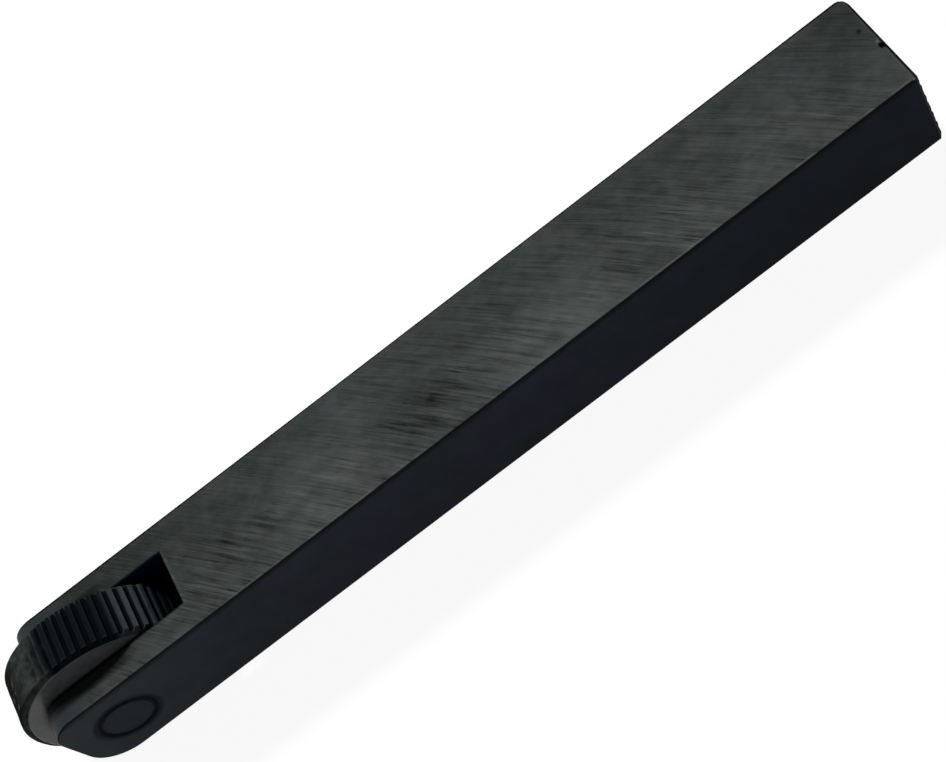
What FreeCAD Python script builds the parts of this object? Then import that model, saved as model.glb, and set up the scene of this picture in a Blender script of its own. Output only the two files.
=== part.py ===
import FreeCAD, Part
import math
import os

# Single-wheel knurling tool for a lathe, in millimetres.
# A rectangular steel shank ends in a rounded fork, and the fork carries one
# straight-toothed knurl wheel that spins on a plain pin across the cheeks.
# +X runs from the wheel to the back end, Y lies across the tool along the pin,
# and +Z is up. The origin is the centre of the shank's underside, behind the slot.

# Shank
shank_width = 13.0
shank_height = 12.0
grip_length = 89.0
edge_break = 0.20
back_corner_radius = 1.2
back_end_chamfer = 0.45

# Rounded nose of the two cheeks, ahead of the pin
nose_reach = 6.35
nose_top_radius = 3.2
nose_bottom_radius = 4.2

# Knurl wheel
wheel_diameter = 20.0
wheel_width = 6.0
tooth_count = 55
tooth_depth = 0.48
tooth_crest_width = 0.44
tooth_root_width = 0.12
rim_chamfer_width = 0.45
rim_chamfer_drop = 0.75
bore_edge_chamfer = 0.30

# Pin
pin_diameter = 6.0
pin_end_chamfer = 0.30
cheek_hole_chamfer = 0.35

# Clearances between the pieces
wheel_side_gap = 0.25
wheel_back_gap = 2.65
wheel_running_gap = 0.05

# How far a cut runs past the steel, and the turn in radians under which faces join smoothly
cutter_overrun = 2.0
smooth_join_angle = 0.02

# Places that follow from the sizes
wheel_radius = wheel_diameter / 2
pin_radius = pin_diameter / 2
slot_width = wheel_width + 2 * wheel_side_gap
back_end_x = grip_length / 2
slot_wall_x = -grip_length / 2
pin_x = slot_wall_x - wheel_back_gap - wheel_radius
nose_front_x = pin_x - nose_reach
pin_z = shank_height / 2
pin_centre = FreeCAD.Vector(pin_x, 0, pin_z)
across = FreeCAD.Vector(0, 1, 0)


def on_pin(radial, sideways):
    """A point above the pin's axis, at a radius and at a place across the tool."""
    return FreeCAD.Vector(pin_x, sideways, pin_z + radial)


def turned_about_pin(profile):
    """A closed profile of points above the pin's axis, turned once round that axis."""
    outline = Part.makePolygon(profile + [profile[0]])
    return Part.Face(outline).revolve(pin_centre, across, 360)


def rounded_corner(start, end, centre, radius):
    """The arc of an outline's corner, through the middle of its quarter turn."""
    outward = (start - centre) + (end - centre)
    outward.normalize()
    return Part.Arc(start, centre + outward * radius, end).toShape()


def side_outline():
    """The holder seen from the side: square at the back, rounded at the nose."""
    side_y = -shank_width / 2
    bottom_back = FreeCAD.Vector(back_end_x, side_y, 0)
    bottom_front = FreeCAD.Vector(nose_front_x + nose_bottom_radius, side_y, 0)
    front_low = FreeCAD.Vector(nose_front_x, side_y, nose_bottom_radius)
    front_high = FreeCAD.Vector(nose_front_x, side_y, shank_height - nose_top_radius)
    top_front = FreeCAD.Vector(nose_front_x + nose_top_radius, side_y, shank_height)
    top_back = FreeCAD.Vector(back_end_x, side_y, shank_height)
    low_centre = FreeCAD.Vector(bottom_front.x, side_y, front_low.z)
    high_centre = FreeCAD.Vector(top_front.x, side_y, front_high.z)
    return Part.Wire([
        Part.makeLine(bottom_back, bottom_front),
        rounded_corner(bottom_front, front_low, low_centre, nose_bottom_radius),
        Part.makeLine(front_low, front_high),
        rounded_corner(front_high, top_front, high_centre, nose_top_radius),
        Part.makeLine(top_front, top_back),
        Part.makeLine(top_back, bottom_back),
    ])


def edge_nearest(solid, point):
    """The edge whose middle lies nearest to a point."""
    return min(solid.Edges, key=lambda edge: edge.CenterOfMass.distanceToPoint(point))


def sharp_edges(solid):
    """The edges where two faces meet at an angle, without an arc's smooth joins."""
    found = []
    for edge in solid.Edges:
        middle = edge.valueAt((edge.FirstParameter + edge.LastParameter) / 2)
        normals = []
        for face in solid.ancestorsOfType(edge, Part.Face):
            u, v = face.Surface.parameter(middle)
            normals.append(face.normalAt(u, v))
        if normals[0].getAngle(normals[1]) > smooth_join_angle:
            found.append(edge)
    return found


def upright_rectangle(x, half_width, half_height):
    """A rectangle across the tool at a place along it, centred on the shank's middle line."""
    corners = []
    for side, level in ((-1, -1), (1, -1), (1, 1), (-1, 1)):
        corners.append(FreeCAD.Vector(x, side * half_width, pin_z + level * half_height))
    return Part.makePolygon(corners + [corners[0]])


def back_end_trim():
    """A pyramid with sides at 45 degrees, which trims the sawn back end to its chamfer."""
    outlines = []
    for x in (nose_front_x - cutter_overrun, back_end_x + cutter_overrun):
        spread = back_end_x - back_end_chamfer - x
        outlines.append(upright_rectangle(x, shank_width / 2 + spread, shank_height / 2 + spread))
    return Part.makeLoft(outlines, True, True)


def make_holder():
    """One steel bar, milled to a fork at its nose, with one hole through both cheeks."""
    half_width = shank_width / 2
    bar = Part.Face(side_outline()).extrude(across * shank_width)
    far_back_corner = FreeCAD.Vector(back_end_x, half_width, pin_z)
    bar = bar.makeFillet(back_corner_radius, [edge_nearest(bar, far_back_corner)])
    bar = bar.makeChamfer(edge_break, sharp_edges(bar))
    bar = bar.common(back_end_trim())
    slot_start = FreeCAD.Vector(nose_front_x - cutter_overrun, -slot_width / 2, -cutter_overrun)
    slot = Part.makeBox(
        slot_wall_x - slot_start.x,
        slot_width,
        shank_height + 2 * cutter_overrun,
        slot_start,
    )
    mouth_radius = pin_radius + cheek_hole_chamfer
    hole_floor = half_width - cheek_hole_chamfer
    pin_hole = turned_about_pin([
        on_pin(0, -half_width),
        on_pin(mouth_radius, -half_width),
        on_pin(pin_radius, -hole_floor),
        on_pin(pin_radius, hole_floor),
        on_pin(mouth_radius, half_width),
        on_pin(0, half_width),
    ])
    return bar.cut(slot).cut(pin_hole)


def tooth_ring_outline():
    """The wheel's toothed outline: flat-crested V teeth with a groove straight above the pin."""
    pitch_angle = 2 * math.pi / tooth_count
    root_radius = wheel_radius - tooth_depth
    crest_half_angle = tooth_crest_width / 2 / wheel_radius
    root_half_angle = tooth_root_width / 2 / root_radius
    points = []
    for tooth in range(tooth_count):
        groove_angle = math.pi / 2 + tooth * pitch_angle
        crest_angle = groove_angle + pitch_angle / 2
        corners = [
            (root_radius, groove_angle - root_half_angle),
            (root_radius, groove_angle + root_half_angle),
            (wheel_radius, crest_angle - crest_half_angle),
            (wheel_radius, crest_angle + crest_half_angle),
        ]
        for radius, angle in corners:
            forward = radius * math.cos(angle)
            upward = radius * math.sin(angle)
            points.append(pin_centre + FreeCAD.Vector(forward, -wheel_width / 2, upward))
    return Part.makePolygon(points + [points[0]])


def make_knurl_wheel():
    """A turned blank with chamfered rims, cut to straight teeth parallel to the pin."""
    half_width = wheel_width / 2
    bore_radius = pin_radius + wheel_running_gap
    blank = turned_about_pin([
        on_pin(bore_radius, -half_width + bore_edge_chamfer),
        on_pin(bore_radius + bore_edge_chamfer, -half_width),
        on_pin(wheel_radius - rim_chamfer_drop, -half_width),
        on_pin(wheel_radius, -half_width + rim_chamfer_width),
        on_pin(wheel_radius, half_width - rim_chamfer_width),
        on_pin(wheel_radius - rim_chamfer_drop, half_width),
        on_pin(bore_radius + bore_edge_chamfer, half_width),
        on_pin(bore_radius, half_width - bore_edge_chamfer),
    ])
    tooth_ring = Part.Face(tooth_ring_outline()).extrude(across * wheel_width)
    return blank.common(tooth_ring)


def make_wheel_pin():
    """A plain ground pin, pressed through both cheeks and flush with the sides."""
    half_width = shank_width / 2
    return turned_about_pin([
        on_pin(0, -half_width),
        on_pin(pin_radius - pin_end_chamfer, -half_width),
        on_pin(pin_radius, -half_width + pin_end_chamfer),
        on_pin(pin_radius, half_width - pin_end_chamfer),
        on_pin(pin_radius - pin_end_chamfer, half_width),
        on_pin(0, half_width),
    ])


pieces = {
    "holder": make_holder(),
    "knurl_wheel": make_knurl_wheel(),
    "wheel_pin": make_wheel_pin(),
}

os.makedirs("parts", exist_ok=True)
for name, shape in pieces.items():
    solid = shape.Solids[0]
    solid.exportStep(f"parts/{name}.step")
    print(name, "solids", len(shape.Solids), "valid", shape.isValid(), "volume", round(solid.Volume, 1))
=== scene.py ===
import bmesh
import bpy
import math
from mathutils import Euler, Matrix, Vector


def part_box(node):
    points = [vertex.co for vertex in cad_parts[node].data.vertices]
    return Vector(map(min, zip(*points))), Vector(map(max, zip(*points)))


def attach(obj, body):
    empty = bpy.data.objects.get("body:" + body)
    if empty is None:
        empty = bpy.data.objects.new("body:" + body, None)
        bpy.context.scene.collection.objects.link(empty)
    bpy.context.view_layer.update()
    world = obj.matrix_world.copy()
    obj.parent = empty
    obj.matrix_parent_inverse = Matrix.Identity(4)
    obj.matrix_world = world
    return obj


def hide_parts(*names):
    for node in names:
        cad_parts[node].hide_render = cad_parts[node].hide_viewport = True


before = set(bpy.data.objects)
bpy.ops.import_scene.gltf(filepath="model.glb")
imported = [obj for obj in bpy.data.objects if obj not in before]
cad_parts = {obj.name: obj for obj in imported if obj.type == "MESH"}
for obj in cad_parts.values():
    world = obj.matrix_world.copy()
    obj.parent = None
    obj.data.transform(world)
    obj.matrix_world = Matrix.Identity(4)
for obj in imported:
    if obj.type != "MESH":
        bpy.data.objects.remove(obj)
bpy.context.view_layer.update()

# Holder: one bar of rectangular steel. Its front end is rounded in side view and milled to a
# fork, and its back end is sawn off. The top and underside were ground on a big cup wheel, which
# left arcs right across them, the sides are smooth, and the whole bar was blackened and oiled.
bar_low, bar_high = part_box("holder")
pin_low, pin_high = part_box("wheel_pin")
wheel_low, wheel_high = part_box("knurl_wheel")
nose_top_radius = 0.0032
nose_bottom_radius = 0.0042
nose_arc_steps = 14
back_corner_radius = 0.0012
back_corner_steps = 8
back_end_chamfer = 0.00045
cheek_hole_chamfer = 0.00035
hole_steps = 96
slot_side_gap = 0.00025
slot_back_gap = 0.00265
cutter_overrun = 0.002
saw_ripple_depth = 0.00014
saw_ripple_pitch = 0.0018
saw_ripple_steps = 90
nick_place = Vector((0.04408, -0.00100, 0.01195))
nick_radius = 0.00037
nick_rings = 6
nick_ring_points = 10
edge_round = 0.00020
edge_round_steps = 3
square_edge_angle = math.radians(65)
flat_face_angle = math.radians(35)
pin_radius = (pin_high.z - pin_low.z) / 2
pin_centre = (pin_low + pin_high) / 2
slot_half_width = wheel_high.y + slot_side_gap
slot_wall_x = wheel_high.x + slot_back_gap
mm_per_metre = 1000.0


def arc_points(centre_x, centre_z, radius, start_angle, end_angle, steps):
    """Points of an arc in side view, with angles counted from +X towards +Z."""
    points = []
    for step in range(steps + 1):
        angle = start_angle + (end_angle - start_angle) * step / steps
        points.append((centre_x + radius * math.cos(angle), centre_z + radius * math.sin(angle)))
    return points


def saw_ripple(z):
    """How deep the saw's marks go into the back end at a height, a wave of uneven pitch."""
    turn = 2 * math.pi * z / saw_ripple_pitch
    wave = 0.6 * math.sin(turn) + 0.4 * math.sin(1.7 * turn + 1.0)
    return saw_ripple_depth * (1 - wave) / 2


def side_outline(back_x):
    """The bar in side view, anticlockwise from the bottom of its back end, as (x, z) points."""
    low_arc_x = bar_low.x + nose_bottom_radius
    high_arc_x = bar_low.x + nose_top_radius
    height = bar_high.z - bar_low.z
    back_end = []
    for step in range(saw_ripple_steps + 1):
        z = bar_low.z + height * step / saw_ripple_steps
        back_end.append((back_x - saw_ripple(z), z))
    top_nose = arc_points(high_arc_x, bar_high.z - nose_top_radius, nose_top_radius,
                          math.pi / 2, math.pi, nose_arc_steps)
    low_nose = arc_points(low_arc_x, bar_low.z + nose_bottom_radius, nose_bottom_radius,
                          math.pi, 1.5 * math.pi, nose_arc_steps)
    return back_end + top_nose + low_nose


def ring_solid(name, rings):
    """A closed mesh through equal rings of points, with a flat cap at each end."""
    mesh = bmesh.new()
    loops = [[mesh.verts.new(point) for point in ring] for ring in rings]
    count = len(loops[0])
    for near, far in zip(loops, loops[1:]):
        for index in range(count):
            following = (index + 1) % count
            mesh.faces.new((near[index], near[following], far[following], far[index]))
    mesh.faces.new(loops[0][::-1])
    mesh.faces.new(loops[-1])
    bmesh.ops.recalc_face_normals(mesh, faces=mesh.faces)
    data = bpy.data.meshes.new(name)
    mesh.to_mesh(data)
    mesh.free()
    piece = bpy.data.objects.new(name, data)
    bpy.context.scene.collection.objects.link(piece)
    return piece


def cut_with(piece, cutter, operation="DIFFERENCE"):
    """Sets a Boolean on the piece that takes the cutter out of it, or keeps what lies in both."""
    cut = piece.modifiers.new("cut_" + cutter.name, "BOOLEAN")
    cut.operation = operation
    cut.solver = "EXACT"
    cut.object = cutter


def settle(piece):
    """Turns a piece's modifiers into its plain mesh."""
    evaluated = piece.evaluated_get(bpy.context.evaluated_depsgraph_get())
    piece.data = bpy.data.meshes.new_from_object(evaluated)
    piece.modifiers.clear()


def holder_rings():
    """The bar's outlines across the tool, with the far upright corner of the back end rounded."""
    side_stations = [(bar_low.y, 0.0)]
    for step in range(back_corner_steps + 1):
        angle = math.pi / 2 * step / back_corner_steps
        y = bar_high.y - back_corner_radius * (1 - math.sin(angle))
        side_stations.append((y, back_corner_radius * (1 - math.cos(angle))))
    rings = []
    for y, inset in side_stations:
        rings.append([(x, y, z) for x, z in side_outline(bar_high.x - inset)])
    return rings


def back_end_trim():
    """A pyramid with sides at 45 degrees, which trims the sawn back end to its chamfer."""
    middle = (bar_low + bar_high) / 2
    rings = []
    for x in (bar_low.x - cutter_overrun, bar_high.x + cutter_overrun):
        spread = bar_high.x - back_end_chamfer - x
        half_y = bar_high.y + spread
        half_z = (bar_high.z - bar_low.z) / 2 + spread
        rings.append([(x, side * half_y, middle.z + level * half_z)
                      for side, level in ((-1, -1), (1, -1), (1, 1), (-1, 1))])
    return ring_solid("back_end_trim", rings)


def slot_cutter():
    """The milled slot: square at its back wall and open in front, on top and underneath."""
    corners = [(bar_low.x - cutter_overrun, bar_low.z - cutter_overrun),
               (slot_wall_x, bar_low.z - cutter_overrun),
               (slot_wall_x, bar_high.z + cutter_overrun),
               (bar_low.x - cutter_overrun, bar_high.z + cutter_overrun)]
    return ring_solid("slot_cutter", [[(x, y, z) for x, z in corners]
                                      for y in (-slot_half_width, slot_half_width)])


def hole_cutter():
    """The pin's hole through both cheeks, opened to a chamfer at each outer side."""
    mouth = cheek_hole_chamfer + cutter_overrun
    rings = []
    for y, widening in ((bar_low.y - cutter_overrun, mouth), (bar_low.y + cheek_hole_chamfer, 0.0),
                        (bar_high.y - cheek_hole_chamfer, 0.0), (bar_high.y + cutter_overrun, mouth)):
        outline = arc_points(pin_centre.x, pin_centre.z, pin_radius + widening,
                             0, 2 * math.pi, hole_steps)
        rings.append([(x, y, z) for x, z in outline[:-1]])
    return ring_solid("hole_cutter", rings)


def nick_cutter():
    """A small ball that leaves the nick in the top edge of the back end."""
    rings = []
    for ring in range(1, nick_rings):
        tilt = math.pi * ring / nick_rings
        outline = arc_points(nick_place.x, nick_place.z, nick_radius * math.sin(tilt),
                             0, 2 * math.pi, nick_ring_points)
        rings.append([(x, nick_place.y - nick_radius * math.cos(tilt), z) for x, z in outline[:-1]])
    return ring_solid("nick_cutter", rings)


forked_holder = ring_solid("forked_holder", holder_rings())
cutters = [back_end_trim(), slot_cutter(), hole_cutter()]
cut_with(forked_holder, cutters[0], "INTERSECT")
cut_with(forked_holder, cutters[1])
cut_with(forked_holder, cutters[2])
settle(forked_holder)
edge_break = forked_holder.modifiers.new("edge_break", "BEVEL")
edge_break.width = edge_round
edge_break.segments = edge_round_steps
edge_break.limit_method = "ANGLE"
edge_break.angle_limit = square_edge_angle
edge_break.use_clamp_overlap = False
cutters.append(nick_cutter())
cut_with(forked_holder, cutters[3])
settle(forked_holder)
forked_holder.data.shade_smooth()
forked_holder.data.set_sharp_from_angle(angle=flat_face_angle)
even_shading = forked_holder.modifiers.new("even_shading", "WEIGHTED_NORMAL")
even_shading.keep_sharp = True
settle(forked_holder)
for cutter in cutters:
    bpy.data.objects.remove(cutter)


class Signal:
    """A socket of a node tree. Arithmetic on it adds Math nodes, and node() adds any other."""

    def __init__(self, tree, output=None):
        self.tree = tree
        self.output = output

    def node(self, kind, settings, inputs, result=0):
        """Adds a node: its settings first, then the values or signals of its sockets."""
        node = self.tree.nodes.new(kind)
        for name, value in settings.items():
            setattr(node, name, value)
        for name, value in inputs.items():
            socket = next(s for s in node.inputs if name in (s.identifier, s.name))
            if isinstance(value, Signal):
                self.tree.links.new(value.output, socket)
            elif socket.type == "RGBA":
                socket.default_value = (*value, 1.0)
            else:
                socket.default_value = value
        if isinstance(result, int):
            return Signal(self.tree, node.outputs[result])
        found = next(s for s in node.outputs if result in (s.identifier, s.name))
        return Signal(self.tree, found)

    def math(self, operation, first, second=0.0):
        """A Math node on one or two values or signals."""
        return self.node("ShaderNodeMath", {"operation": operation},
                         {"Value": first, "Value_001": second})

    def __add__(self, other):
        return self.math("ADD", self, other)

    def __radd__(self, other):
        return self.math("ADD", other, self)

    def __sub__(self, other):
        return self.math("SUBTRACT", self, other)

    def __rsub__(self, other):
        return self.math("SUBTRACT", other, self)

    def __mul__(self, other):
        return self.math("MULTIPLY", self, other)

    def __rmul__(self, other):
        return self.math("MULTIPLY", other, self)

    def __truediv__(self, other):
        return self.math("DIVIDE", self, other)

    def __pow__(self, other):
        return self.math("POWER", self, other)

    def __abs__(self):
        return self.math("ABSOLUTE", self)

    def step_up(self, low, high):
        """0 below low and 1 above high, with a smooth rise between them."""
        return self.node("ShaderNodeMapRange", {"interpolation_type": "SMOOTHSTEP"},
                         {"Value": self, "From Min": low, "From Max": high})

    def step_down(self, low, high):
        """1 below low and 0 above high, with a smooth fall between them."""
        return 1 - self.step_up(low, high)

    def larger(self, other):
        """The larger of this value and another."""
        return self.math("MAXIMUM", self, other)

    def vector(self, x, y, z):
        """A vector of three values or signals."""
        return self.node("ShaderNodeCombineXYZ", {}, {"X": x, "Y": y, "Z": z})

    def parts(self):
        """The three parts of this vector."""
        return [self.node("ShaderNodeSeparateXYZ", {}, {"Vector": self}, axis) for axis in "XYZ"]

    def noise(self, place, scale, detail=2.0, roughness=0.5):
        """Smooth random values about 0.5 at a place."""
        return self.node("ShaderNodeTexNoise", {},
                         {"Vector": place, "Scale": scale, "Detail": detail, "Roughness": roughness})

    def blend(self, mask, colour, other_colour):
        """The first colour where the mask is 0 and the other where it is 1."""
        return self.node("ShaderNodeMix", {"data_type": "RGBA"},
                         {"Factor_Float": mask, "A_Color": colour, "B_Color": other_colour},
                         "Result_Color")

    def tint(self, colour, strength):
        """A colour made lighter or darker by a varying strength."""
        grey = self.vector(strength, strength, strength)
        return self.node("ShaderNodeVectorMath", {"operation": "MULTIPLY"},
                         {"Vector": colour, "Vector_001": grey})


def new_finish(name):
    """An empty material, with the signal that starts its nodes."""
    material = bpy.data.materials.new(name)
    material.use_nodes = True
    material.node_tree.nodes.clear()
    return material, Signal(material.node_tree)


def set_surface(tree, surface, kind="ShaderNodeOutputMaterial"):
    """Ends a tree of nodes with the shader of its surface."""
    output = tree.nodes.new(kind)
    tree.links.new(surface.output, output.inputs["Surface"])


def millimetres(start):
    """Where a point lies on the tool, in millimetres, as X, Y and Z signals."""
    place = start.node("ShaderNodeTexCoord", {}, {}, "Object")
    in_millimetres = start.node("ShaderNodeVectorMath", {"operation": "SCALE"},
                                {"Vector": place, "Scale": mm_per_metre})
    return in_millimetres.parts()


def distance(first, *others):
    """How far off a place is, from how far off it is along each direction."""
    squares = first * first
    for gap in others:
        squares = squares + gap * gap
    return squares ** 0.5


def surface_noise(along, across, upward, per_mm, seed, detail=1.0, roughness=0.5):
    """Smooth random values, with so many spots a millimetre along and across the tool."""
    place = along.vector(along * per_mm[0], across * per_mm[1], upward + seed)
    return along.noise(place, 1.0, detail, roughness)


def raised(start, height):
    """The normal of a surface that is raised or sunk by a height in millimetres."""
    return start.node("ShaderNodeBump", {},
                      {"Strength": 1.0, "Distance": 1 / mm_per_metre, "Height": height})


grinding_ring_radius = 160.0
grinding_ring_side = -110.6
ground_grey = (0.0365, 0.0450, 0.0430)
worn_grey = (0.054, 0.062, 0.060)
warm_grey = (0.047, 0.049, 0.046)
smudge_black = (0.030, 0.036, 0.034)
rubbed_edge_grey = (0.12, 0.125, 0.122)
side_navy = (0.0088, 0.0112, 0.0158)
side_slate = (0.0172, 0.0214, 0.0262)
side_violet = (0.0165, 0.0178, 0.0300)
nose_slate = (0.0290, 0.0360, 0.0405)
sawn_black = (0.0050, 0.0060, 0.0065)
slot_navy = (0.0050, 0.0090, 0.0300)
# The slot's back wall colour is made lighter: painted light inside the recess.
slot_end_painted_light_blue = (0.0200, 0.0420, 0.0850)
ring_grime_and_shade = (0.0095, 0.0125, 0.0150)

# Places on the ground faces that handling and clamping left lighter or duller than the rest:
# the middle along and across the tool, how far each reaches, and how much lighter it is.
rubbed_spots = (
    (-26.5, -2.5, 6.5, 6.0, 0.45), (-19.5, 4.2, 4.5, 4.0, 0.25), (-14.5, -2.8, 5.5, 5.5, -0.24),
    (1.0, -5.2, 9.0, 4.5, 0.28), (4.5, -1.0, 5.5, 8.0, 0.18), (-52.0, 5.5, 13.0, 4.5, -0.28),
    (42.5, 4.5, 6.0, 6.0, -0.25), (29.0, -3.0, 6.0, 5.0, 0.12), (-41.0, -1.0, 14.0, 9.0, -0.13),
    (43.24, 1.89, 0.35, 0.35, -0.6), (-12.3, -1.8, 0.8, 0.6, -0.4))
burr_place = Vector((0.04390, -0.00036, 0.01200))
nick_fade = 0.12
ground_roughness = 0.62
ground_specular = 0.16
smooth_roughness = 0.5
smooth_specular = 0.01
fine_line_strength = 1.8
broad_line_strength = 1.0
scratch_strength = 0.35
mottle_strength = 1.1
cross_line_strength = 0.15
speck_strength = 0.15
fine_line_height = 0.02
broad_line_height = 0.03
scratch_depth = 0.03


def grinding_marks(x, y, z):
    """What the cup wheel left on the ground faces: fine lines, broad lines and some scratches."""
    reach = y - grinding_ring_side
    arc = x - (grinding_ring_radius ** 2 - reach * reach) ** 0.5
    fine_lines = surface_noise(arc, y, z, (3.0, 0.20), 0, 3.0, 0.6)
    broad_lines = surface_noise(arc, y, z, (1.3, 0.10), 4, 2.0, 0.55)
    deep_line = surface_noise(arc, y, z, (2.0, 0.08), 17)
    kept = surface_noise(arc, y, z, (0.4, 0.3), 23).step_up(0.48, 0.6)
    scratch = abs(deep_line - 0.5).step_down(0.006, 0.03) * kept
    return fine_lines, broad_lines, scratch


def ground_lightness(x, y, z, marks, towards_near_edge):
    """How light the ground faces are, with their marks, mottling, specks and rubbed spots."""
    fine_lines, broad_lines, scratch = marks
    streaked = surface_noise(x, y, z, (0.09, 0.2), 61).step_up(0.35, 0.6)
    streaked = (0.45 + streaked * 0.7) * (0.6 + towards_near_edge * 0.7)
    streaked = streaked * (1 - x.step_up(18, 42) * 0.35) * (1 - x.step_down(-60, -48) * 0.6)
    lines = ((fine_lines - 0.5) * fine_line_strength + (broad_lines - 0.5) * broad_line_strength
             - scratch * scratch_strength)
    cross_arc = y * 1.6 + (x * 0.28 + 0.5) ** 2 * 0.05
    cross_lines = surface_noise(cross_arc * 1.3 + x * 0.6, x, z, (1.0, 0.15), 31, 2.0)
    mottle = surface_noise(x, y, z, (0.5, 0.55), 12, 5.0, 0.66)
    speck = surface_noise(x, y, z, (1.1, 1.1), 41).step_up(0.73, 0.8)
    lightness = (1 + lines * streaked + (mottle - 0.5) * mottle_strength
                 + (cross_lines - 0.5) * cross_line_strength - speck * speck_strength)
    for middle_x, middle_y, reach_x, reach_y, lighter in rubbed_spots:
        aside = distance((x - middle_x) / reach_x, (y - middle_y) / reach_y)
        lightness = lightness + aside.step_down(0.15, 1.25) * lighter
    return lightness


def ground_colour(start, x, y, z, along, marks):
    """The ground faces: lighter towards the near edge, patchy, smooth slate at the nose, and painted
    shade on faces turned to the front, beside the wheel and at the slot's inner edges.
    """
    towards_near_edge = y.step_down(-7.5, 6.5)
    ground = start.blend(towards_near_edge, ground_grey, worn_grey)
    warmth = surface_noise(x, y, z, (0.16, 0.25), 71, 2.0).step_up(0.42, 0.66)
    ground = start.blend(warmth * 0.7, ground, warm_grey)
    smudges = surface_noise(x, y, z, (0.11, 0.16), 9, 3.0, 0.6).step_up(0.50, 0.70)
    ground = start.blend(smudges * 0.6, ground, smudge_black)
    smooth_nose = x.step_down(-61, -55) * 0.8
    ground = start.blend(smooth_nose, ground, nose_slate)

    far_edge = y.step_up(6.2, 6.35)
    by_nose = x.step_down(-62, -45) * y.step_down(-3.5, 6)
    # Darker on the cheek tops beside the wheel: a painted shadow of the wheel.
    wheel_shadow_on_cheeks = x.step_down(-53, -51) * abs(y).step_down(4.6, 5.3)
    # Darker along the slot's inner edges behind the wheel: painted shade.
    slot_edge_shade = x.step_down(-45.2, -44.6) * abs(y).step_down(3.35, 3.65)
    darker = (1 - by_nose * 0.15) * (1 - far_edge * 0.6)
    darker = darker * (1 - wheel_shadow_on_cheeks * 0.6) * (1 - slot_edge_shade * 0.6)
    lightness = ground_lightness(x, y, z, marks, towards_near_edge)
    lightness = 1 + (lightness - 1) * (1 - smooth_nose)
    ground = start.tint(ground, lightness * darker)
    # Faces turned to the front are blended towards dark slate: painted shade on the nose.
    front_faces_shade = along.step_down(-0.9, -0.1)
    ground = start.blend(front_faces_shade * 0.6, ground, nose_slate)

    wear_and_highlight = surface_noise(x, y, z, (0.35, 1.0), 51, 3.0).step_up(0.45, 0.62)
    by_near_edge = y.step_down(-6.3, -6.0) * (wear_and_highlight * 0.6 - x.step_down(-46, -40) * 0.4)
    behind_slot = x - slot_wall_x * mm_per_metre
    by_slot_wall = abs(behind_slot - 0.2).step_down(0.1, 0.3) * abs(y).step_down(3.4, 3.6)
    return start.blend(by_near_edge + by_slot_wall * (0.1 + wear_and_highlight * 0.3), ground, rubbed_edge_grey)


def side_colour(start, x, y, z, mottle):
    """The smooth sides: navy at the back, slate at the nose, with violet patches between, and painted
    light making them lighter higher up.
    """
    sides = start.blend(x.step_down(-40, 45), side_navy, side_slate)
    violet = start.noise(start.vector(x * 0.13, y, z * 0.13 + 81), 1.0, 1.0).step_up(0.42, 0.62)
    sides = start.blend(violet * 0.6 * x.step_down(-10, 20), sides, side_violet)
    sides = start.blend(x.step_down(-62, -38), sides, nose_slate)
    below_edge = z.step_up(11.15, 11.6)
    # Lighter higher up the sides: painted light.
    painted_light_above = z.step_up(6.0, 11.0) * 0.12
    return start.tint(sides, (0.7 + mottle * 0.6 + painted_light_above) * (1 - below_edge * 0.5))


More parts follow.
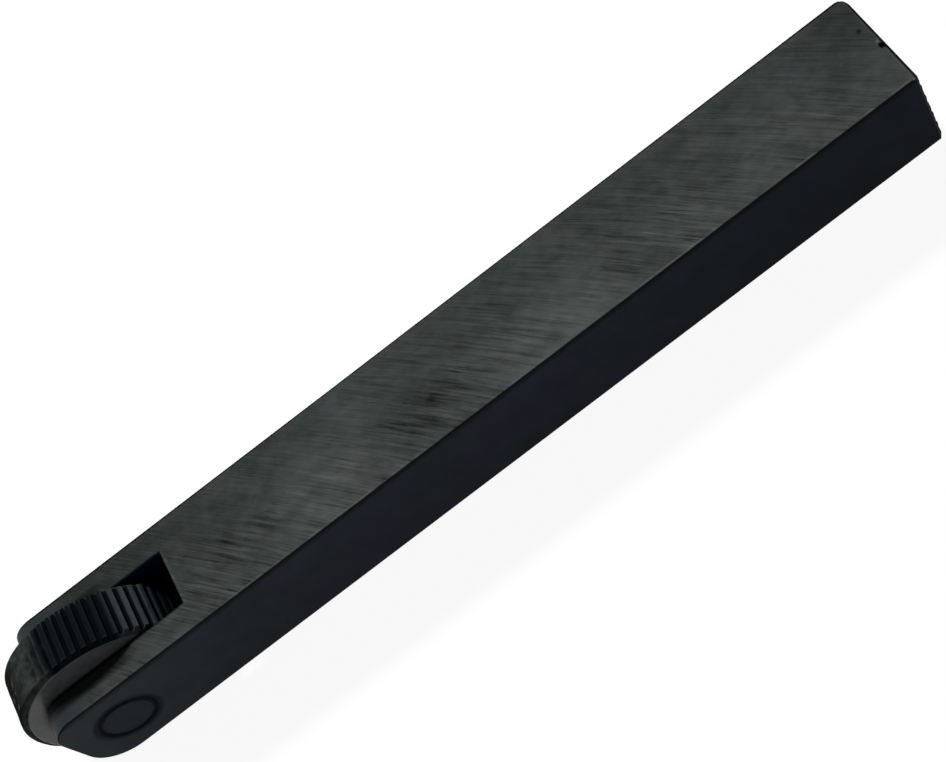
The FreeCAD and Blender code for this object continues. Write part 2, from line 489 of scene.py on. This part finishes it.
def blackened_holder_finish():
    """Blackened steel: ground grey on top and below, near black and smooth at the sides."""
    material, start = new_finish("blackened_ground_steel")
    x, y, z = millimetres(start)
    along, across, upward = start.node("ShaderNodeTexCoord", {}, {}, "Normal").parts()
    marks = grinding_marks(x, y, z)
    fine_lines, broad_lines, scratch = marks
    side_mottle = start.noise(start.vector(x * 0.35, y * 0.35, z * 0.35), 1.0, 3.0)

    is_side = abs(across).step_up(0.55, 0.8)
    colour = start.blend(is_side, ground_colour(start, x, y, z, along, marks),
                         side_colour(start, x, y, z, side_mottle))
    on_edge = abs(across).step_up(0.08, 0.25) * abs(across).step_down(0.85, 0.98)
    colour = start.blend(on_edge * 0.8, colour, sawn_black)

    faces_up = upward.step_up(0.4, 0.6)
    sawn_edge = x.step_up(44.12, 44.25)
    faces_back = along.step_up(0.45, 0.6) * (1 - faces_up * (1 - sawn_edge))
    slot_end = along.step_down(-0.95, -0.8) * x.step_up(-48, -47)
    slot_cheek = abs(across).step_up(0.8, 0.95) * abs(y).step_down(4, 5)
    colour = start.blend(faces_back, colour, sawn_black)
    colour = start.blend(slot_cheek, colour, slot_navy)
    # The slot's back wall is made a lighter blue: painted light standing in for light reaching into the
    # slot.
    colour = start.blend(slot_end, colour, slot_end_painted_light_blue)

    def from_place(place):
        """How far a point of the surface lies from a place on the tool, in millimetres."""
        in_mm = place * mm_per_metre
        return distance(x - in_mm.x, y - in_mm.y, z - in_mm.z)

    burr = 0.6 - from_place(burr_place).step_up(0.08, 0.28) * 0.6
    colour = start.blend(burr, colour, rubbed_edge_grey)
    nick_edge = nick_radius * mm_per_metre
    in_nick = from_place(nick_place).step_down(nick_edge, nick_edge + nick_fade)
    colour = start.blend(in_nick, colour, sawn_black)
    # Dark ring round the pin hole: grime in the chamfer groove and painted shade there.
    from_pin = distance(x - pin_centre.x * mm_per_metre, z - pin_centre.z * mm_per_metre)
    pin_ring_grime_and_shade = from_pin.step_down(3.45, 4.05) * (0.75 + side_mottle * 0.5)
    colour = start.blend(pin_ring_grime_and_shade, colour, ring_grime_and_shade)

    is_matte = is_side.larger(on_edge).larger(faces_back + slot_cheek + slot_end).larger(pin_ring_grime_and_shade)
    relief = fine_lines * fine_line_height + broad_lines * broad_line_height - scratch * scratch_depth
    ground_steel = start.node("ShaderNodeBsdfPrincipled", {}, {
        "Base Color": colour, "Roughness": ground_roughness + (fine_lines - 0.5) * 0.3, "Metallic": 0.0,
        "Specular IOR Level": ground_specular, "Normal": raised(start, relief * (1 - is_matte))})
    smooth_steel = start.node("ShaderNodeBsdfPrincipled", {}, {
        "Base Color": colour, "Roughness": smooth_roughness, "Metallic": 0.0,
        "Specular IOR Level": smooth_specular})
    set_surface(material.node_tree, start.node("ShaderNodeMixShader", {}, {
        "Fac": is_matte, "Shader": ground_steel, "Shader_001": smooth_steel}))
    return material


forked_holder.data.materials.clear()
forked_holder.data.materials.append(blackened_holder_finish())
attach(forked_holder, "holder")
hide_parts("holder")

# Wheel pin: a plain ground pin, pressed through both cheeks and blackened with them. Only its
# two flat ends show, each inside a dark ring at the chamfers, partly grime and partly painted shade.
pin_end_grey = (0.0170, 0.0205, 0.0245)
pin_specular = 0.02
turning_ring_height = 0.004


def pin_finish():
    """Blackened pin steel, with faint turning rings on the ends and a chamfer painted black as grime
    and shade.
    """
    material, start = new_finish("blackened_pin_steel")
    x, y, z = millimetres(start)
    radius = distance(x - pin_centre.x * mm_per_metre, z - pin_centre.z * mm_per_metre)
    rings = start.noise(start.vector(radius * 6.0, 0.0, 3.0), 1.0, 2.0)
    mottle = start.noise(start.vector(x, y, z), 1.2, 3.0)
    colour = start.tint(pin_end_grey, 0.6 + mottle * 0.8)
    colour = start.blend(radius.step_up(2.25, 2.85), colour, ring_grime_and_shade)
    set_surface(material.node_tree, start.node("ShaderNodeBsdfPrincipled", {}, {
        "Base Color": colour, "Roughness": 0.5 + mottle * 0.1, "Metallic": 0.0,
        "Specular IOR Level": pin_specular, "Normal": raised(start, rings * turning_ring_height)}))
    return material


wheel_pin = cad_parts["wheel_pin"]
wheel_pin.data.materials.clear()
wheel_pin.data.materials.append(pin_finish())

# Knurl wheel: a hardened steel wheel with 55 straight V teeth across a chamfered rim. Its flanks
# are ground bare and its teeth are blackened. One tooth is drawn here and repeated round the
# pin. The teeth that face forwards are packed with old oil and fine swarf.
tooth_count = 55
tooth_depth = 0.00048
tooth_crest_width = 0.00044
tooth_root_width = 0.00012
crest_rounding = 0.00007
rounding_steps = 3
rim_chamfer_width = 0.00045
rim_chamfer_drop = 0.00075
rim_chamfer_steps = 6
tread_steps = 16
bore_running_gap = 0.00005
bore_edge_chamfer = 0.0003
wheel_radius = (wheel_high.z - wheel_low.z) / 2
wheel_half_width = wheel_high.y
bore_radius = pin_radius + bore_running_gap
rim_inner_radius = wheel_radius - tooth_depth * 1.7
rim_inner_fade = tooth_depth * 0.1
packed_sector_start = math.radians(98)
packed_sector_end = math.radians(208)
packed_sector_fade = math.radians(13)
packed_wander = math.radians(22)
packed_depth_below_crest = 0.00001
packed_unevenness = 0.00008
open_groove_depth = tooth_depth * 1.1
packed_lumps_per_mm = 1.1
packed_wander_per_mm = 0.45
same_point_distance = 1e-6
sharp_edge_angle = math.radians(25)


def rounded_corners(points, radius, steps):
    """An open outline whose inner corners are rounded off by a radius."""
    rounded = [points[0]]
    for before, corner, after in zip(points, points[1:], points[2:]):
        inward = (Vector(before) - Vector(corner)).normalized()
        outward = (Vector(after) - Vector(corner)).normalized()
        half_angle = inward.angle(outward) / 2
        reach = radius / math.tan(half_angle)
        centre = Vector(corner) + (inward + outward).normalized() * (radius / math.sin(half_angle))
        start = Vector(corner) + inward * reach - centre
        end = Vector(corner) + outward * reach - centre
        for step in range(steps + 1):
            rounded.append(tuple(centre + start.lerp(end, step / steps).normalized() * radius))
    rounded.append(points[-1])
    return rounded


def one_tooth():
    """One tooth's outline from groove to groove, as (angle from its middle, radius) points."""
    pitch = 2 * math.pi * wheel_radius / tooth_count
    root = -tooth_depth
    corners = [(-pitch / 2, root), (-pitch / 2 + tooth_root_width / 2, root),
               (-tooth_crest_width / 2, 0.0), (tooth_crest_width / 2, 0.0),
               (pitch / 2 - tooth_root_width / 2, root), (pitch / 2, root)]
    outline = rounded_corners(corners, crest_rounding, rounding_steps)
    return [(along / wheel_radius, wheel_radius + height) for along, height in outline]


def wheel_section():
    """The blank's section from the bore round the rim and back, as (radius, y) points."""
    half = wheel_half_width
    points = [(bore_radius, -half + bore_edge_chamfer), (bore_radius + bore_edge_chamfer, -half)]
    for side in (-1, 1):
        chamfer = []
        for step in range(rim_chamfer_steps + 1):
            share = step / rim_chamfer_steps
            chamfer.append((wheel_radius - rim_chamfer_drop * (1 - share),
                            side * (half - rim_chamfer_width * share)))
        if side < 0:
            points += chamfer
            tread_half = half - rim_chamfer_width
            for step in range(1, tread_steps):
                points.append((wheel_radius, -tread_half + 2 * tread_half * step / tread_steps))
        else:
            points += chamfer[::-1]
    return points + [(bore_radius + bore_edge_chamfer, half), (bore_radius, half - bore_edge_chamfer)]


def tooth_sector():
    """The slice of the wheel that carries one tooth, open where it meets its neighbours."""
    tooth = one_tooth()
    section = wheel_section()
    mesh = bmesh.new()
    grid = []
    for radius, y in section:
        row = []
        for angle, tooth_radius in tooth:
            reach = min(radius, tooth_radius)
            row.append(mesh.verts.new((reach * math.sin(angle), y, reach * math.cos(angle))))
        grid.append(row)
    count = len(grid)
    for index in range(count):
        row, next_row = grid[index], grid[(index + 1) % count]
        for column in range(len(tooth) - 1):
            mesh.faces.new((row[column], row[column + 1], next_row[column + 1], next_row[column]))
    bmesh.ops.recalc_face_normals(mesh, faces=mesh.faces)
    data = bpy.data.meshes.new("toothed_wheel")
    mesh.to_mesh(data)
    mesh.free()
    return data


def repeat_teeth_tree():
    """Geometry nodes that set a tooth's slice round the pin and pack the grooves in front."""
    tree = bpy.data.node_groups.new("knurl_teeth", "GeometryNodeTree")
    tree.interface.new_socket("Tooth", in_out="INPUT", socket_type="NodeSocketGeometry")
    for name, kind in (("Teeth", "NodeSocketInt"), ("Pin place", "NodeSocketVector"),
                       ("Wheel radius", "NodeSocketFloat"), ("Packed from", "NodeSocketFloat"),
                       ("Packed to", "NodeSocketFloat"), ("Finish", "NodeSocketMaterial")):
        tree.interface.new_socket(name, in_out="INPUT", socket_type=kind)
    tree.interface.new_socket("Wheel", in_out="OUTPUT", socket_type="NodeSocketGeometry")
    start = Signal(tree)
    given = tree.nodes.new("NodeGroupInput")

    def wanted(name):
        """The value that the wheel's modifier gives for one of the tree's inputs."""
        return Signal(tree, given.outputs[name])

    count = wanted("Teeth")
    places = start.node("GeometryNodePoints", {}, {"Count": count, "Position": (0, 0, 0)})
    index = start.node("GeometryNodeInputIndex", {}, {})
    turn = (index + 0.5) * (2 * math.pi) / count
    rotation = start.vector(0.0, turn, 0.0)
    teeth = start.node("GeometryNodeInstanceOnPoints", {},
                       {"Points": places, "Instance": wanted("Tooth"), "Rotation": rotation})
    joined = start.node("GeometryNodeRealizeInstances", {}, {"Geometry": teeth})
    joined = start.node("GeometryNodeMergeByDistance", {},
                        {"Geometry": joined, "Distance": same_point_distance})
    position = start.node("GeometryNodeInputPosition", {}, {})
    x, y, z = position.parts()
    radius = distance(x, z)
    angle = start.math("ARCTAN2", z, x)
    angle = angle + 2 * math.pi * angle.step_down(-0.001, 0.001)
    place = start.node("ShaderNodeVectorMath", {"operation": "SCALE"},
                       {"Vector": position, "Scale": mm_per_metre})
    lumps = start.noise(place, packed_lumps_per_mm, 3.0)
    wander = (start.noise(place, packed_wander_per_mm, 1.0) - 0.5) * packed_wander
    begin = wanted("Packed from") + wander
    end = wanted("Packed to")
    sector = (angle.step_up(begin, begin + packed_sector_fade)
              * angle.step_down(end - packed_sector_fade, end))
    chamfer_share = (abs(y) - (wheel_half_width - rim_chamfer_width)) / rim_chamfer_width
    blank_radius = wanted("Wheel radius") - rim_chamfer_drop * chamfer_share.larger(0.0)
    fill_depth = packed_depth_below_crest + (1 - sector) * open_groove_depth + lumps * packed_unevenness
    fill_radius = blank_radius - fill_depth
    is_rim = radius.step_up(rim_inner_radius, rim_inner_radius + rim_inner_fade)
    clogged = sector * lumps.step_up(0.28, 0.42)
    packed_radius = radius.larger(fill_radius)
    packed_radius = packed_radius - (packed_radius - fill_radius) * clogged
    grow = 1 + is_rim * (packed_radius / radius - 1)
    spread = start.vector(x * grow, y, z * grow)
    joined = start.node("GeometryNodeStoreNamedAttribute", {"data_type": "FLOAT", "domain": "POINT"},
                        {"Geometry": joined, "Name": "packed",
                         "Value": is_rim * (sector * 0.5 + clogged * 0.5)})
    joined = start.node("GeometryNodeSetPosition", {}, {"Geometry": joined, "Position": spread})
    joined = start.node("GeometryNodeTransform", {},
                        {"Geometry": joined, "Translation": wanted("Pin place")})
    joined = start.node("GeometryNodeRealizeInstances", {}, {"Geometry": joined})
    joined = start.node("GeometryNodeSetMaterial", {},
                        {"Geometry": joined, "Material": wanted("Finish")})
    final = tree.nodes.new("NodeGroupOutput")
    tree.links.new(joined.output, final.inputs["Wheel"])
    return tree


flank_brown = (0.064, 0.061, 0.064)
flank_slate = (0.050, 0.058, 0.064)
flank_shine = (1.0, 0.99, 0.86)
flank_specular = 0.16
tooth_specular = 0.3
dirt_roughness = 0.8
dirt_specular = 0.0
crest_grey = (0.0030, 0.0052, 0.0072)
crest_highlight_grey = (0.0280, 0.0345, 0.0375)
teeth_highlight_middle = math.radians(38)
teeth_highlight_reach = math.radians(17.25)
teeth_highlight_core = math.radians(12.04)
groove_black = (0.0030, 0.0046, 0.0062)
packed_grey = (0.032, 0.038, 0.035)
packed_olive = (0.024, 0.030, 0.020)
packed_brown = (0.0100, 0.0104, 0.0086)
packed_lump_height = 0.03
tooth_grain_height = 0.003
turning_line_height = 0.002
cheek_shade_strength = 0.35
cheek_shade_dulling = 0.9


def tooth_tone(start, x, y, z, from_pin_x, from_pin_z, crest, grain):
    """The blackened teeth: black grooves, and dark crests with a stretch painted lighter as a
    highlight.
    """
    towards_highlight = (from_pin_x * math.cos(teeth_highlight_middle)
                      + from_pin_z * math.sin(teeth_highlight_middle))
    towards_highlight = towards_highlight / distance(from_pin_x, from_pin_z)
    # A stretch of crests near the slot is painted lighter: a painted highlight.
    wear_and_highlight = towards_highlight.step_up(math.cos(teeth_highlight_reach), math.cos(teeth_highlight_core))
    crest_tone = start.blend(wear_and_highlight, crest_grey, crest_highlight_grey)
    teeth = start.blend(crest, groove_black, crest_tone)
    worn_teeth = start.noise(start.vector(x * 0.9, y * 0.5, z * 0.9 + 13), 1.0, 2.0)
    return start.tint(teeth, 0.2 + grain * 0.8 + worn_teeth * 0.8)


def packed_dirt(start, z, chamfer_share, lumps, smears):
    """Old oil and fine swarf: lumpy, grey with olive smears, and brown low down in front."""
    dirt = start.blend(smears.step_up(0.5, 0.66) * 0.8, packed_grey, packed_olive)
    low_front = z.step_down(13.0, 15.0) * (1 - chamfer_share.step_up(0.0, 0.4) * 0.85)
    dirt = start.blend(low_front * 0.9, dirt, packed_brown)
    return start.tint(dirt, 1 + (lumps - 0.5) * 2.6)


def knurl_finish():
    """Hardened steel: bare ground flanks with painted shade by the cheek, dark teeth with a painted
    highlight on top, and packed grooves.
    """
    material, start = new_finish("hardened_knurl_steel")
    x, y, z = millimetres(start)
    from_pin_x = x - pin_centre.x * mm_per_metre
    from_pin_z = z - pin_centre.z * mm_per_metre
    radius = distance(from_pin_x, from_pin_z)
    place = start.vector(x, y, z)
    tread_half = (wheel_half_width - rim_chamfer_width) * mm_per_metre
    chamfer_share = ((abs(y) - tread_half) / (rim_chamfer_width * mm_per_metre)).larger(0.0)
    blank_radius = wheel_radius * mm_per_metre - chamfer_share * (rim_chamfer_drop * mm_per_metre)
    below_crest = blank_radius - radius
    crest = below_crest.step_down(0.08, 0.26)
    tread = radius.step_up(9.22, 9.3)
    packed = start.node("ShaderNodeAttribute", {"attribute_name": "packed"}, {}, "Fac")
    lumps = start.noise(place, 1.3, 5.0, 0.65)
    smears = start.noise(start.vector(x * 0.6, y * 0.7, z * 0.9 + 5), 1.0, 3.0, 0.6)
    grain = start.noise(start.vector(x * 4, y * 1.2, z * 4), 1.0, 3.0)
    turning = start.noise(start.vector(radius * 5.0, 0.0, 0.0), 1.0, 2.0)

    teeth = tooth_tone(start, x, y, z, from_pin_x, from_pin_z, crest, grain)
    teeth = start.blend(packed, teeth, packed_dirt(start, z, chamfer_share, lumps, smears))
    flank = start.blend(smears.step_up(0.4, 0.6), flank_brown, flank_slate)
    flank = start.tint(flank, 0.45 + 0.3 * turning + 0.85 * lumps)
    # Darker and duller on the flank ahead of the pin, close to the cheek's nose: painted shade of the
    # cheek.
    cheek_shade_on_flank = radius.step_down(6.9, 8.1) * (from_pin_x / radius).step_down(-0.65, -0.5)
    flank = start.blend(cheek_shade_on_flank * cheek_shade_strength, flank, groove_black)
    colour = start.blend(tread, flank, teeth)
    rough = 0.18 + tread * 0.14 + grain * 0.1
    height = (turning * turning_line_height * (1 - tread) + lumps * packed * packed_lump_height
              + grain * tooth_grain_height * tread)
    bump = raised(start, height)
    flank_steel = start.node("ShaderNodeBsdfPrincipled", {}, {
        "Base Color": colour, "Roughness": rough, "Metallic": 0.0,
        "Specular IOR Level": flank_specular, "Specular Tint": flank_shine, "Normal": bump})
    tooth_steel = start.node("ShaderNodeBsdfPrincipled", {}, {
        "Base Color": colour, "Roughness": rough, "Metallic": 0.0,
        "Specular IOR Level": tooth_specular, "Normal": bump})
    oily_dirt = start.node("ShaderNodeBsdfPrincipled", {}, {
        "Base Color": colour, "Roughness": dirt_roughness, "Metallic": 0.0,
        "Specular IOR Level": dirt_specular, "Normal": bump})
    is_dirty = (1 - crest).larger(packed).larger(chamfer_share.step_up(0.0, 0.2))
    dark_teeth = start.node("ShaderNodeMixShader", {},
                            {"Fac": is_dirty, "Shader": tooth_steel, "Shader_001": oily_dirt})
    set_surface(material.node_tree, start.node("ShaderNodeMixShader", {}, {
        "Fac": tread.larger(cheek_shade_on_flank * cheek_shade_dulling), "Shader": flank_steel,
        "Shader_001": dark_teeth}))
    return material


toothed_wheel = bpy.data.objects.new("toothed_wheel", tooth_sector())
bpy.context.scene.collection.objects.link(toothed_wheel)
teeth_tree = repeat_teeth_tree()
teeth_modifier = toothed_wheel.modifiers.new("teeth", "NODES")
teeth_modifier.node_group = teeth_tree
tree_inputs = {item.name: item.identifier for item in teeth_tree.interface.items_tree
               if item.in_out == "INPUT"}
for name, value in (("Teeth", tooth_count), ("Pin place", pin_centre),
                    ("Wheel radius", wheel_radius), ("Packed from", packed_sector_start),
                    ("Packed to", packed_sector_end), ("Finish", knurl_finish())):
    teeth_modifier[tree_inputs[name]] = value
settle(toothed_wheel)
toothed_wheel.data.shade_smooth()
toothed_wheel.data.set_sharp_from_angle(angle=sharp_edge_angle)
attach(toothed_wheel, "knurl_wheel")
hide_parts("knurl_wheel")

# Camera: above the near side, as far off as the picture's perspective needs, and rolled so that
# the tool climbs across the picture from the wheel at the bottom left.
camera_place = Vector((0.01538, -0.10341, 0.16797))
camera_heading = math.radians(-6.241)
camera_looks_down = math.radians(54.837)
camera_roll = math.radians(-42.575)
camera_lens = 71.852
camera_shift = (-0.04968, -0.13848)
camera = bpy.data.objects.new("camera", bpy.data.cameras.new("camera"))
bpy.context.scene.collection.objects.link(camera)
ahead = Vector((math.cos(camera_looks_down) * math.sin(camera_heading),
                math.cos(camera_looks_down) * math.cos(camera_heading),
                -math.sin(camera_looks_down)))
level_right = Vector((math.cos(camera_heading), -math.sin(camera_heading), 0))
level_up = level_right.cross(ahead)
right = level_right * math.cos(camera_roll) + level_up * math.sin(camera_roll)
up = right.cross(ahead)
turned = Matrix((right, up, -ahead)).transposed().to_4x4()
camera.matrix_world = Matrix.Translation(camera_place) @ turned
camera.data.sensor_width = 36
camera.data.lens = camera_lens
camera.data.shift_x, camera.data.shift_y = camera_shift
bpy.context.scene.camera = camera

# Stage: a pale floor under the wheel that shows white and keeps the shadow, a room that is light
# round the horizon, and one soft lamp above the far side.
floor_half_size = 2.0
paper_grey = (0.85, 0.85, 0.85)
glow_strength = 1.05
glow_share = 0.88
floor_material, floor_start = new_finish("pale_floor")
seen = floor_start.node("ShaderNodeLightPath", {}, {}, "Is Camera Ray")
mirrored = floor_start.node("ShaderNodeLightPath", {}, {}, "Is Glossy Ray")
through_glass = floor_start.node("ShaderNodeLightPath", {}, {}, "Is Transmission Ray")
paper = floor_start.node("ShaderNodeBsdfDiffuse", {}, {"Color": paper_grey})
glow = floor_start.node("ShaderNodeEmission", {}, {"Color": (1, 1, 1), "Strength": glow_strength})
set_surface(floor_material.node_tree, floor_start.node("ShaderNodeMixShader", {}, {
    "Fac": (seen + mirrored + through_glass) * glow_share, "Shader": paper, "Shader_001": glow}))
floor = bpy.data.objects.new("floor", bpy.data.meshes.new("floor"))
floor_z = wheel_low.z
floor.data.from_pydata([(-floor_half_size, -floor_half_size, floor_z),
                        (floor_half_size, -floor_half_size, floor_z),
                        (floor_half_size, floor_half_size, floor_z),
                        (-floor_half_size, floor_half_size, floor_z)], [], [(0, 1, 2, 3)])
floor.data.materials.append(floor_material)
bpy.context.scene.collection.objects.link(floor)

room_darkest = 0.08
room = bpy.data.worlds.new("light_room")
bpy.context.scene.world = room
room.use_nodes = True
room.node_tree.nodes.clear()
room_start = Signal(room.node_tree)
skyward = room_start.node("ShaderNodeTexCoord", {}, {}, "Generated").parts()[2]
horizon_light = skyward.step_down(0.12, 0.38)
room_strength = room_darkest + horizon_light * (1 - room_darkest)
set_surface(room.node_tree, room_start.node("ShaderNodeBackground", {}, {
    "Color": (1, 1, 1), "Strength": room_strength}), "ShaderNodeOutputWorld")

lamp_distance = 0.7
lamp_from_vertical = math.radians(27)
lamp_size = 0.12
lamp_power = 4.65
lamp = bpy.data.objects.new("soft_lamp", bpy.data.lights.new("soft_lamp", "AREA"))
lamp.data.shape = "DISK"
lamp.data.size = lamp_size
lamp.data.energy = lamp_power
lamp.visible_glossy = False
bpy.context.scene.collection.objects.link(lamp)
lamp_offset = Vector((0, math.sin(lamp_from_vertical), math.cos(lamp_from_vertical)))
lamp.location = lamp_offset * lamp_distance
lamp.rotation_euler = Euler((-lamp_from_vertical, 0, 0))

bpy.context.scene.view_settings.view_transform = "Standard"
